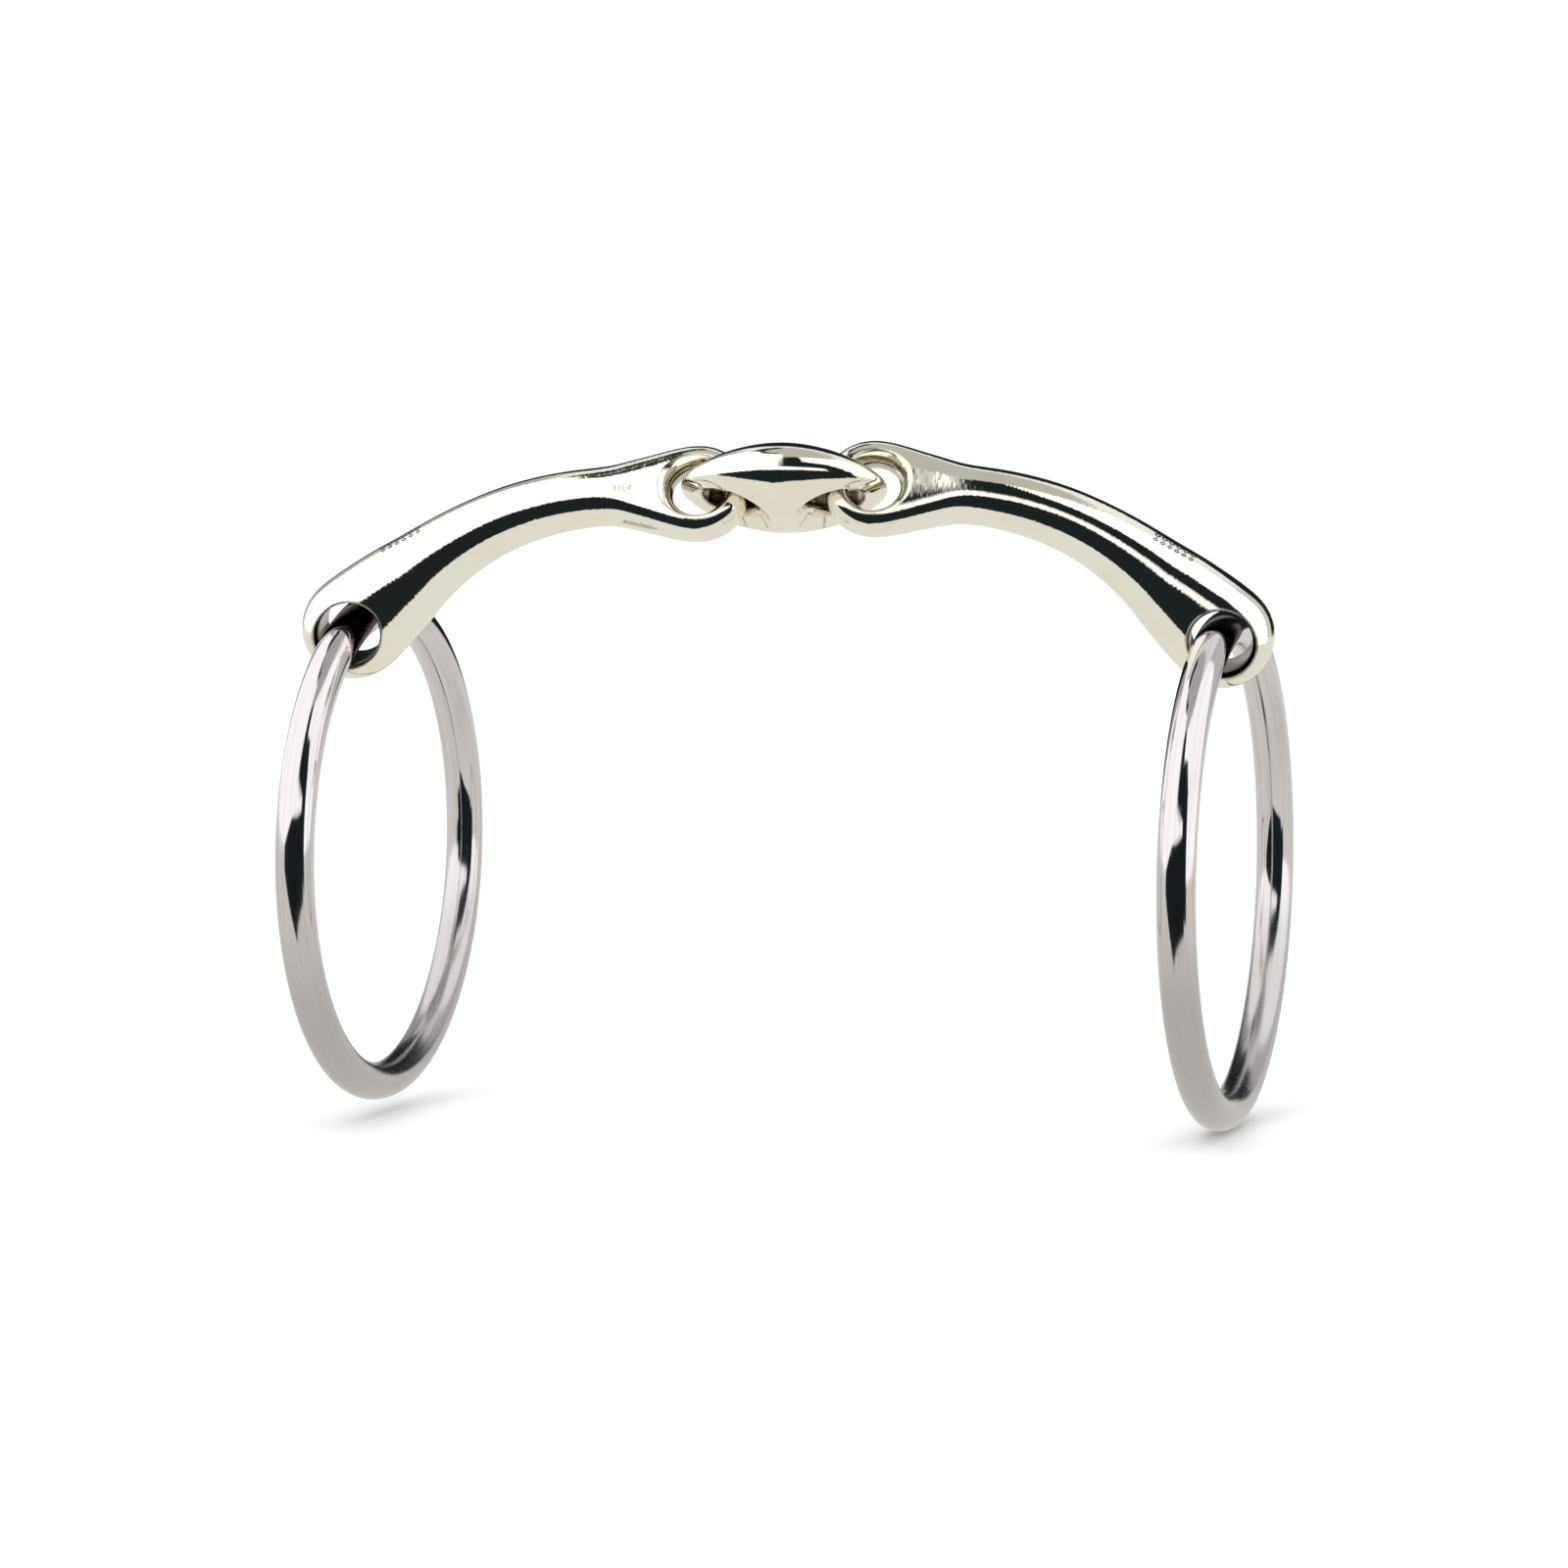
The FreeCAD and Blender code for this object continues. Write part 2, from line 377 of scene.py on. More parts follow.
def hole_wall_mask() -> bpy.types.NodeTree:
    """The wall of a hole, where metal works against metal and where the painted shade of the hollow lies.

    The distance from the hole's axis is the length of (place - Centre) x Axis. The mask is 1
    within Radius of the axis and fades out over Fade, with its edge moved in and out by a
    noise, and it ends Reach along the axis from Centre.

    Returns:
        A group with inputs Vector, Centre, Axis, Radius, Fade and Reach, and the output Mask.
    """
    ragged_cells, ragged_depth = 520.0, 0.8 * MM
    sockets = {"Vector": "Vector", "Centre": "Vector", "Axis": "Vector", "Radius": "Float", "Fade": "Float",
               "Reach": "Float"}
    effect = Effect("HoleWallMask", sockets, {"Mask": "Float"})
    graph = effect.graph
    off = graph.vector("SUBTRACT", effect.given["Vector"], effect.given["Centre"]).outputs["Vector"]
    crossed = graph.vector("CROSS_PRODUCT", off, effect.given["Axis"]).outputs["Vector"]
    apart = graph.vector("LENGTH", crossed).outputs["Value"]
    along = graph.maths("ABSOLUTE", graph.vector("DOT_PRODUCT", off, effect.given["Axis"]).outputs["Value"])
    wander = graph.maths("SUBTRACT", graph.noise(effect.given["Vector"], ragged_cells, 3.0), 0.5)
    ragged = graph.maths("MULTIPLY", wander, ragged_depth)
    rim = graph.maths("ADD", effect.given["Radius"], effect.given["Fade"])
    wall = graph.fade(graph.maths("ADD", apart, ragged), effect.given["Radius"], rim, 1.0, 0.0)
    near_end = graph.maths("MULTIPLY", effect.given["Reach"], 0.8)
    deep = graph.fade(along, near_end, effect.given["Reach"], 1.0, 0.0)
    graph.feed(effect.result["Mask"], graph.maths("MULTIPLY", wall, deep))
    return effect.tree


@dataclass(frozen=True)
class Effects:
    """The node groups that the finishes share."""

    ripple: bpy.types.NodeTree
    hairlines: bpy.types.NodeTree
    hollow: bpy.types.NodeTree

    @classmethod
    def build(cls) -> "Effects":
        """Builds each group once."""
        return cls(buffing_ripple(), hairlines(), hole_wall_mask())


# ----------------------------------------------------------------------------- finishes


@dataclass(frozen=True)
class WallShadeAndWear:
    """How the wall of one kind of hole is darkened by painted shade and roughened by rubbing.

    The darkened, rougher metal reaches radius from the axis, thins out over fade and ends reach
    along the axis. The tone says how far the wall goes from the polished metal: towards the
    painted shade in its colour and towards the rubbed metal in its roughness.
    """

    radius: float
    fade: float
    reach: float
    tone: float


@dataclass(frozen=True)
class Hollow:
    """A hole whose wall rubs on the neighbouring piece and takes painted shade."""

    centre: Point
    axis: Point
    wear_and_shade: WallShadeAndWear


@dataclass(frozen=True)
class MirrorAlloy:
    """Cast copper-nickel alloy, buffed to a mirror: pale champagne, with painted shade darkening the walls of
    the holes, where pieces rub.
    """

    colour: Colour = (0.955, 0.925, 0.84)
    deep_colour: Colour = (0.93, 0.885, 0.77)
    # painted shade: the dark colour that the walls of the holes take
    hollow_shade_colour: Colour = (0.16, 0.115, 0.105)
    gloss: float = 0.04
    haze: float = 0.03
    rubbed_roughness: float = 0.16
    scratch_roughness: float = 0.10
    scratch_depth: float = 0.0008
    lip_radius: float = 0.45 * MM
    lip_reach: float = 1.6 * MM
    lip_fade: float = 0.6 * MM
    ripple_length: float = 7.5 * MM
    ripple_depth: float = 0.10
    relief: float = 0.35
    relief_height: float = 0.2 * MM

    def material(self, name: str, effects: Effects, hollows: tuple[Hollow, ...]) -> bpy.types.Material:
        """Builds the metal of one piece.

        Args:
            name: the material's name.
            effects: the shared node groups.
            hollows: where this piece rubs on its neighbours.

        Returns:
            The material.
        """
        surface = Surface(name)
        graph, place = surface.graph, surface.place
        painted_shade_and_wear, lip = self.holes(surface, effects, hollows)
        lines = self.scratches(surface, effects)
        cloud = graph.fade(graph.noise(place, 90.0, 3.0, 0.55), 0.38, 0.66)
        # painted shade: the colour is darkened on the walls of the holes
        colour = graph.blend(painted_shade_and_wear, graph.blend(cloud, self.colour, self.deep_colour), self.hollow_shade_colour)
        haze = graph.fade(graph.noise(place, 260.0, 4.0, 0.6), 0.45, 0.75, 0.0, self.haze)
        rough = graph.maths("ADD", graph.maths("ADD", haze, self.gloss),
                            graph.maths("MULTIPLY", lines, self.scratch_roughness))
        rough = graph.maths("ADD", rough, graph.maths("MULTIPLY", painted_shade_and_wear, self.rubbed_roughness), clamp=True)
        waves = graph.use(effects.ripple, Vector=place, Length=self.ripple_length, Depth=self.ripple_depth)
        height = graph.maths("SUBTRACT", waves.outputs["Height"],
                             graph.maths("MULTIPLY", lines, self.scratch_depth))
        bent = graph.bump(height, self.relief, self.relief_height, self.worn_lips(surface, lip))
        return surface.coat(colour, rough, bent)

    def holes(self, surface: Surface, effects: Effects, hollows: tuple[Hollow, ...]) -> tuple[Value, Value]:
        """Finds the walls of the holes, which take painted shade and rubbing, and the wider rims round their
        mouths.

        Args:
            surface: the material that is being built.
            effects: the shared node groups.
            hollows: the holes.

        Returns:
            How far the walls are darkened by painted shade and roughened by rubbing, and 1 on a rim.
        """
        graph, place = surface.graph, surface.place
        painted_shade_and_wear: Value = 0.0
        lip: Value = 0.0
        for hollow in hollows:
            worn = hollow.wear_and_shade
            rim = graph.use(effects.hollow, Vector=place, Centre=hollow.centre, Axis=hollow.axis,
                            Radius=worn.radius + self.lip_reach, Fade=self.lip_fade, Reach=2 * worn.reach)
            lip = graph.maths("MAXIMUM", lip, rim.outputs["Mask"])
            wall = graph.use(effects.hollow, Vector=place, Centre=hollow.centre, Axis=hollow.axis,
                             Radius=worn.radius, Fade=worn.fade, Reach=worn.reach)
            # painted shade and rubbing on this wall, as strong as its tone
            painted_shade_and_wear = graph.maths("MAXIMUM", painted_shade_and_wear, graph.maths("MULTIPLY", wall.outputs["Mask"], worn.tone))
        return painted_shade_and_wear, lip

    def scratches(self, surface: Surface, effects: Effects) -> Socket:
        """Lays two sets of hairlines that run different ways.

        Args:
            surface: the material that is being built.
            effects: the shared node groups.

        Returns:
            1 on a hairline.
        """
        graph, place = surface.graph, surface.place
        first = graph.use(effects.hairlines, Vector=graph.mapping(place, rotation=(0.2, 0.5, 0.35)),
                          Density=2600.0, Width=0.012, Cover=0.16)
        second = graph.use(effects.hairlines, Vector=graph.mapping(place, rotation=(1.1, -0.4, 1.9)),
                           Density=1900.0, Width=0.010, Cover=0.12)
        return graph.maths("MAXIMUM", first.outputs["Mask"], second.outputs["Mask"])

    def worn_lips(self, surface: Surface, lip: Value) -> Socket:
        """Wears the sharp mouth of each hole round, so that its edge takes a thin bright line.

        Args:
            surface: the material that is being built.
            lip: 1 on a rim.

        Returns:
            The rounded normal on the rims, and the surface's own elsewhere.
        """
        graph = surface.graph
        worn = graph.node("ShaderNodeBevel", samples=6)
        graph.feed(worn.inputs["Radius"], self.lip_radius)
        turned = graph.node("ShaderNodeMix", data_type="VECTOR")
        share_in, own_in, worn_in = turned.inputs[0], turned.inputs[4], turned.inputs[5]
        graph.feed(share_in, lip)
        graph.feed(own_in, graph.node("ShaderNodeNewGeometry").outputs["Normal"])
        graph.feed(worn_in, worn.outputs["Normal"])
        return turned.outputs[1]


@dataclass(frozen=True)
class WireLoop:
    """Where a ring lies: its centre, and how its plane is turned about the vertical from YZ.

    The radius is that of the wire's centre line, and wire_radius that of the wire itself.
    """

    centre: Point
    yaw: float
    radius: float
    wire_radius: float


@dataclass(frozen=True)
class DrawnSteel:
    """Stainless wire bent to a ring: cooler than the alloy, polished above and satin below, its lower half
    darkened by painted shade.
    """

    colour: Colour = (0.74, 0.70, 0.72)
    deep_colour: Colour = (0.56, 0.52, 0.54)
    # painted shade: the darker colour of the ring's lower half
    lower_half_shade_colour: Colour = (0.50, 0.475, 0.48)
    bright_roughness: float = 0.055
    satin_roughness: float = 0.21
    lower_half_band: float = 12.0 * MM
    lower_half_wander: float = 20.0 * MM
    scratch_roughness: float = 0.10
    scratch_depth: float = 0.003
    ripple_length: float = 11.0 * MM
    ripple_depth: float = 0.12
    relief: float = 0.5
    relief_height: float = 0.2 * MM

    def material(self, name: str, effects: Effects, loop: WireLoop) -> bpy.types.Material:
        """Builds the metal of one ring.

        Args:
            name: the material's name.
            effects: the shared node groups.
            loop: where the ring lies.

        Returns:
            The material.
        """
        surface = Surface(name)
        graph, place = surface.graph, surface.place
        drawn, up = self.wire_places(surface, loop)
        lines = graph.use(effects.hairlines, Vector=drawn, Density=3200.0, Width=0.03, Cover=0.26)
        nicks = graph.use(effects.hairlines, Vector=graph.mapping(place, rotation=(0.9, 0.3, 0.7)),
                          Density=1500.0, Width=0.012, Cover=0.14)
        marks = graph.maths("MAXIMUM", lines.outputs["Mask"],
                            graph.maths("MULTIPLY", nicks.outputs["Mask"], 0.8))
        wandering = graph.maths("ADD", up, graph.maths("MULTIPLY", graph.noise(place, 60.0, 2.0),
                                                       self.lower_half_wander))
        lower_half = graph.fade(wandering, self.lower_half_band, -self.lower_half_band)
        streak = graph.fade(graph.noise(graph.mapping(drawn, scale=(1.0, 0.03, 1.0)), 1500.0, 3.0), 0.4, 0.7)
        colour = graph.blend(graph.maths("MULTIPLY", streak, 0.5), self.colour, self.deep_colour)
        # painted shade: the lower half of the ring is darkened in colour; the same band makes it rougher
        colour = graph.blend(graph.maths("MULTIPLY", lower_half, 0.8), colour, self.lower_half_shade_colour)
        worn = graph.maths("ADD", self.bright_roughness,
                           graph.maths("MULTIPLY", lower_half, self.satin_roughness - self.bright_roughness))
        rough = graph.maths("ADD", worn, graph.maths("MULTIPLY", marks, self.scratch_roughness), clamp=True)
        waves = graph.use(effects.ripple, Vector=place, Length=self.ripple_length, Depth=self.ripple_depth)
        height = graph.maths("SUBTRACT", waves.outputs["Height"],
                             graph.maths("MULTIPLY", marks, self.scratch_depth))
        return surface.coat(colour, rough, graph.bump(height, self.relief, self.relief_height))

    def wire_places(self, surface: Surface, loop: WireLoop) -> tuple[Socket, Socket]:
        """Finds the wire's own coordinates: the arc round it, and the length along its centre line.

        Args:
            surface: the material that is being built.
            loop: where the ring lies.

        Returns:
            Those two as a vector's X and Y, and the height above the ring's centre.
        """
        graph = surface.graph
        off_centre = graph.vector("SUBTRACT", surface.place, loop.centre).outputs["Vector"]
        parts = graph.node("ShaderNodeSeparateXYZ")
        graph.feed(parts.inputs["Vector"], graph.mapping(off_centre, rotation=(0.0, 0.0, loop.yaw)))
        across, level, up = parts.outputs
        along = graph.maths("MULTIPLY", graph.maths("ARCTAN2", level, up), loop.radius)
        reach = graph.maths("SQRT", graph.maths("ADD", graph.maths("MULTIPLY", level, level),
                                                graph.maths("MULTIPLY", up, up)))
        turn = graph.maths("ARCTAN2", across, graph.maths("SUBTRACT", reach, loop.radius))
        wire = graph.node("ShaderNodeCombineXYZ")
        graph.feed(wire.inputs["X"], graph.maths("MULTIPLY", turn, loop.wire_radius))
        graph.feed(wire.inputs["Y"], along)
        return wire.outputs["Vector"], up


@dataclass(frozen=True)
class StruckMetal:
    """A struck mark's metal: the alloy gone grey and grainy where no wheel reaches it."""

    colour: Colour = (0.13, 0.12, 0.105)
    deep_colour: Colour = (0.025, 0.024, 0.021)
    smooth_roughness: float = 0.25
    rough_roughness: float = 0.55
    relief: float = 0.4
    relief_height: float = 0.05 * MM

    def material(self, name: str) -> bpy.types.Material:
        """Builds the metal of the marks.

        Args:
            name: the material's name.

        Returns:
            The material.
        """
        surface = Surface(name)
        graph = surface.graph
        grit = graph.noise(surface.place, 5200.0, 3.0, 0.6)
        colour = graph.blend(graph.fade(grit, 0.4, 0.62), self.colour, self.deep_colour)
        rough = graph.fade(grit, 0.3, 0.7, self.smooth_roughness, self.rough_roughness)
        return surface.coat(colour, rough, graph.bump(grit, self.relief, self.relief_height))


# ----------------------------------------------------------------------------- meshes


def mesh_object(name: str, points: np.ndarray, faces: np.ndarray, material: bpy.types.Material,
                smooth: bool = True) -> bpy.types.Object:
    """Makes an object at the origin from arrays.

    Args:
        name: the object's name.
        points: corner places, N by 3.
        faces: corner numbers, M by 4.
        material: its material.
        smooth: whether its faces are shaded smooth.

    Returns:
        The object, linked to the scene.
    """
    mesh = bpy.data.meshes.new(name)
    mesh.from_pydata(points.reshape(-1, 3).tolist(), [], faces.reshape(-1, 4).tolist())
    mesh.polygons.foreach_set("use_smooth", np.full(len(mesh.polygons), smooth))
    mesh.materials.append(material)
    mesh.update()
    made = bpy.data.objects.new(name, mesh)
    bpy.context.scene.collection.objects.link(made)
    return made


def grid_faces(shape: tuple[int, int]) -> np.ndarray:
    """The four-cornered faces between the points of a grid, each wound along the second axis first.

    Args:
        shape: how many points the grid has along each axis.

    Returns:
        The corner numbers of each face, with its four corners last.
    """
    number = np.arange(shape[0] * shape[1]).reshape(shape)
    return np.stack([number[:-1, :-1], number[:-1, 1:], number[1:, 1:], number[1:, :-1]], axis=-1)


def node_skin(node: str) -> tuple[np.ndarray, np.ndarray]:
    """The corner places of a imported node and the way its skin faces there.

    Args:
        node: the node's name.

    Returns:
        Two N by 3 arrays.
    """
    mesh = frame["nodes"][node].data
    places = np.empty(len(mesh.vertices) * 3, np.float32)
    facing = np.empty(len(mesh.vertices) * 3, np.float32)
    mesh.vertices.foreach_get("co", places)
    mesh.vertices.foreach_get("normal", facing)
    return places.reshape(-1, 3), facing.reshape(-1, 3)


@dataclass
class StruckMark:
    """Two rows of small open lozenges on the crown of an arm, where it is stamped near its bore.

    The row nearer the back is full size, and the other's lozenges are small_row times as large.
    """

    side: Side
    centre: Point
    slope: float = math.radians(30.0)
    columns: int = 6
    pitch: float = 1.15 * MM
    row_gap: float = 1.20 * MM
    half_length: float = 0.60 * MM
    half_width: float = 0.62 * MM
    small_row: float = 0.72
    open_share: float = 0.40
    outer_slant: float = 0.06
    inner_slant: float = 0.05
    sunk: float = 0.03 * MM
    proud: float = 0.02 * MM
    corners: int = 24
    patch: float = 8.0 * MM

    def flat(self) -> tuple[np.ndarray, np.ndarray, np.ndarray]:
        """Lays the mark out flat.

        A lozenge's outline at angle t is (cos t |cos t|, sin t |sin t|) times its half sizes. Four
        such outlines, outer low, outer high, inner high and inner low, make its raised frame.

        Returns:
            The u, v and height of each point, shaped marks by outline by 4.
        """
        angle = np.linspace(0.0, 2.0 * np.pi, self.corners, endpoint=False)
        outline = np.stack([np.cos(angle) * np.abs(np.cos(angle)), np.sin(angle) * np.abs(np.sin(angle))])
        scale = np.array([1.0, 1.0 - self.outer_slant, self.open_share + self.inner_slant, self.open_share])
        level = np.array([-self.sunk, self.proud, self.proud, -self.sunk])
        places = np.arange(self.columns) - (self.columns - 1) / 2
        column, row = np.meshgrid(places, (-0.5, 0.5), indexing="ij")
        size = np.where(row > 0, 1.0, self.small_row).reshape(-1, 1, 1)
        u = (column.reshape(-1, 1, 1) * self.pitch
             + size * self.half_length * outline[0][None, :, None] * scale)
        v = (row.reshape(-1, 1, 1) * self.row_gap
             + size * self.half_width * outline[1][None, :, None] * scale)
        return u, v, np.broadcast_to(level, u.shape)

    def build(self, material: bpy.types.Material) -> bpy.types.Object:
        """Lays the mark on the arm's skin and makes its mesh.

        Each point goes to the plane of the skin's nearest corner, twice, and then out by its height.

        Args:
            material: the mark's metal.

        Returns:
            The mark, riding on its arm.
        """
        arm = self.side.value + "_arm"
        places, facing = node_skin(arm)
        middle = np.array(self.centre)
        near = np.linalg.norm(places - middle, axis=1) < self.patch
        places, facing = places[near], facing[near]
        along = np.array([self.side.sign * math.cos(self.slope), 0.0, -math.sin(self.slope)])
        out = facing[np.argmin(np.linalg.norm(places - middle, axis=1))]
        across = np.cross(out, along) * self.side.sign
        across /= np.linalg.norm(across)
        u, v, height = self.flat()
        laid = (middle + u[..., None] * along + v[..., None] * across).reshape(-1, 3)
        for _ in range(2):
            nearest = np.argmin(((laid[:, None, :] - places[None]) ** 2).sum(axis=2), axis=1)
            lift = ((laid - places[nearest]) * facing[nearest]).sum(axis=1, keepdims=True)
            laid = laid - lift * facing[nearest]
        laid = laid + height.reshape(-1, 1) * facing[nearest]
        marks, outline, profile = u.shape
        first = np.arange(marks * outline * profile).reshape(marks, outline, profile)
        turn, over = np.roll(first, -1, axis=1), np.roll(first, -1, axis=2)
        faces = np.stack([first, over, np.roll(turn, -1, axis=2), turn], axis=-1)
        if np.dot(np.cross(along, across), out) > 0:
            faces = faces[..., ::-1]
        made = mesh_object(self.side.value + "_struck_mark", laid, faces, material, smooth=False)
        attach(made, arm)
        return made


# ----------------------------------------------------------------------------- sub-assemblies


@dataclass(frozen=True)
class ArmPlaces:
    """Where an arm's eye and its struck mark are centred."""

    eye: Point
    mark: Point


@dataclass
class Mouthpiece:
    """The centre link and the two arms, with the marks that the arms carry."""

    finish: MirrorAlloy
    mark_finish: StruckMetal
    left: ArmPlaces = ArmPlaces((-12.3 * MM, 0.0, -0.9 * MM), (-55.23 * MM, -2.40 * MM, -7.50 * MM))
    right: ArmPlaces = ArmPlaces((13.0 * MM, 0.0, -0.1 * MM), (55.92 * MM, -2.76 * MM, -8.15 * MM))
    link_hole_reach: float = 7.65 * MM
    link_tilt: float = math.radians(27.0)
    # the painted shade and the rubbing on the walls of the eyes, the link's holes and the bores
    eye_shade_and_wear: WallShadeAndWear = WallShadeAndWear(3.8 * MM, 0.5 * MM, 4.0 * MM, 0.45)
    link_shade_and_wear: WallShadeAndWear = WallShadeAndWear(3.9 * MM, 0.5 * MM, 4.5 * MM, 0.75)
    bore_shade_and_wear: WallShadeAndWear = WallShadeAndWear(4.45 * MM, 0.45 * MM, 8.0 * MM, 0.92)

    def places(self, side: Side) -> ArmPlaces:
        """Returns the places on the arm of one side."""
        return self.left if side is Side.LEFT else self.right

    def eye(self, side: Side) -> Hollow:
        """Returns the hole of an arm's eye, whose axis leans with the link."""
        axis = (0.0, math.cos(self.link_tilt), -math.sin(self.link_tilt))
        return Hollow(self.places(side).eye, axis, self.eye_shade_and_wear)

    def link_hole(self, side: Side) -> Hollow:
        """Returns the hole at one end of the link, whose axis stands square to the link's faces."""
        centre = (side.sign * self.link_hole_reach, 0.0, 0.0)
        axis = (0.0, math.sin(self.link_tilt), math.cos(self.link_tilt))
        return Hollow(centre, axis, self.link_shade_and_wear)

    def bore(self, side: Side) -> Hollow:
        """Returns the hole at the outer end of an arm, where the ring's joint stands."""
        joint = next(one for one in frame["joints"] if one["name"] == side.value + "_ring_swing")
        return Hollow(tuple(joint["pos_m"]), tuple(joint["axis"]), self.bore_shade_and_wear)

    def dress(self, effects: Effects) -> None:
        """Gives the three pieces their metal and adds the marks.

        Args:
            effects: the shared node groups.
        """
        holes = tuple(self.link_hole(side) for side in Side)
        put(frame["nodes"]["centre_link"], self.finish.material("alloy_centre_link", effects, holes))
        struck = self.mark_finish.material("alloy_struck")
        for side in Side:
            name = side.value + "_arm"
            holes = (self.eye(side), self.bore(side))
            put(frame["nodes"][name], self.finish.material("alloy_" + name, effects, holes))
            mark = StruckMark(side, self.places(side).mark).build(struck)
            log.info("%s: dressed, with %s of %d faces", name, mark.name, len(mark.data.polygons))


@dataclass
class LooseRing:
    """One ring of round wire, hung in the bore of its arm, its plane turned by yaw from YZ."""

    side: Side
    yaw: float
    finish: DrawnSteel
    wire_radius: float = 2.75 * MM

    def dress(self, effects: Effects) -> None:
        """Gives the ring its metal.

        Args:
            effects: the shared node groups.
        """
        name = self.side.value + "_ring"
        low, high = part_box(name)
        radius = (high.z - low.z) / 2 - self.wire_radius
        loop = WireLoop(tuple((low + high) / 2), self.yaw, radius, self.wire_radius)
        put(frame["nodes"][name], self.finish.material("steel_" + name, effects, loop))
        log.info("%s: dressed, centre line radius %.2f mm", name, radius / MM)


def put(piece: bpy.types.Object, material: bpy.types.Material) -> None:
    """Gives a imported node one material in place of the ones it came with.

    Args:
        piece: the node's object.
        material: its new material.
    """
    piece.data.materials.clear()
    piece.data.materials.append(material)


# ----------------------------------------------------------------------------- studio


@dataclass(frozen=True)
class Panel:
    """A patch of the light tent: its brightness between two edges that run with the bearing.

    Bearings and heights are degrees as seen from the bit. A bearing of 0 is towards -Y and 90
    towards +X. Each edge is a line through (bearing, height) pairs.
    """

    light: Colour
    low: tuple[tuple[float, float], ...]
    high: tuple[tuple[float, float], ...]
    soft: float = 3.0


def ease(values: np.ndarray) -> np.ndarray:
    """Smooth step from 0 to 1 over the unit range: t t (3 - 2 t).

    Args:
        values: any array.

    Returns:
        An array of the same shape.
    """
    held = np.clip(values, 0.0, 1.0)
    return held * held * (3.0 - 2.0 * held)


@dataclass
class LightTent:
    """A glowing shell that only the metal sees: soft boxes, dark room between them, and the table.

    The table's glow gives way to the sky's over horizon_soft degrees from the horizon's height up.
    """

    panels: tuple[Panel, ...]
    sky: Colour = (0.90, 0.90, 0.88)
    table: Colour = (0.77, 0.76, 0.71)
    horizon: float = -9.0
    horizon_soft: float = 5.0
    radius: float = 0.45
    columns: int = 540
    rows: int = 270

    def glow(self, bearing: np.ndarray, height: np.ndarray) -> np.ndarray:
        """The light from each direction.

        Sky above and table below meet at the horizon. Each panel in turn covers what is under it
        by the product of four smooth steps, one at each of its edges.

        Args:
            bearing: degrees from -Y towards +X.
            height: degrees above the horizon.

        Returns:
            Linear colours, one more axis than the inputs.
        """
        above = ease((height - self.horizon) / self.horizon_soft)[..., None]
        light = np.array(self.table) * (1.0 - above) + np.array(self.sky) * above
        for panel in self.panels:
            low_at, low = np.array(panel.low).T
            high_at, high = np.array(panel.high).T
            inside = (bearing - max(low_at[0], high_at[0]), min(low_at[-1], high_at[-1]) - bearing,
                      height - np.interp(bearing, low_at, low), np.interp(bearing, high_at, high) - height)
            cover = math.prod(ease(depth / panel.soft + 0.5) for depth in inside)[..., None]
            light = light * (1.0 - cover) + np.array(panel.light) * cover
        return light

    def build(self) -> bpy.types.Object:
        """Makes the shell: radius times (cos h sin b, -cos h cos b, sin h) for bearing b and height h.

        Returns:
            The shell, staged and hidden from the camera.
        """
        bearing, height = np.meshgrid(np.linspace(-180.0, 180.0, self.columns + 1),
                                      np.linspace(-90.0, 90.0, self.rows + 1), indexing="ij")
        turn, rise = np.radians(bearing), np.radians(height)
        across = np.cos(rise)
        points = np.stack([across * np.sin(turn), -across * np.cos(turn), np.sin(rise)], axis=-1)
        shell = mesh_object("light_tent", self.radius * points, grid_faces(bearing.shape), self.material())
        colours = np.concatenate([self.glow(bearing, height), np.ones(bearing.shape + (1,))], axis=-1)
        attribute = shell.data.color_attributes.new("glow", "FLOAT_COLOR", "POINT")
        attribute.data.foreach_set("color", colours.astype(np.float32).ravel())
        only_reflected(shell)
        shell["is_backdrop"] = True
        return shell

    def material(self) -> bpy.types.Material:
        """Returns the shell's material, which glows by the colour attribute."""
        made = bpy.data.materials.new("tent_glow")
        made.use_nodes = True
        made.node_tree.nodes.clear()
        graph = Graph(made.node_tree)
        painted = graph.node("ShaderNodeAttribute", attribute_name="glow")
        glow = graph.node("ShaderNodeEmission")
        graph.feed(glow.inputs["Color"], painted.outputs["Color"])
        graph.feed(graph.node("ShaderNodeOutputMaterial").inputs["Surface"], glow.outputs["Emission"])
        made.cycles.emission_sampling = "NONE"
        return made


def only_reflected(thing: bpy.types.Object) -> None:
    """Lets a thing be seen in the metal and nowhere else.

    Args:
        thing: the object.
    """
    thing.visible_camera = False
    thing.visible_diffuse = False
    thing.visible_shadow = False
    thing.visible_transmission = False


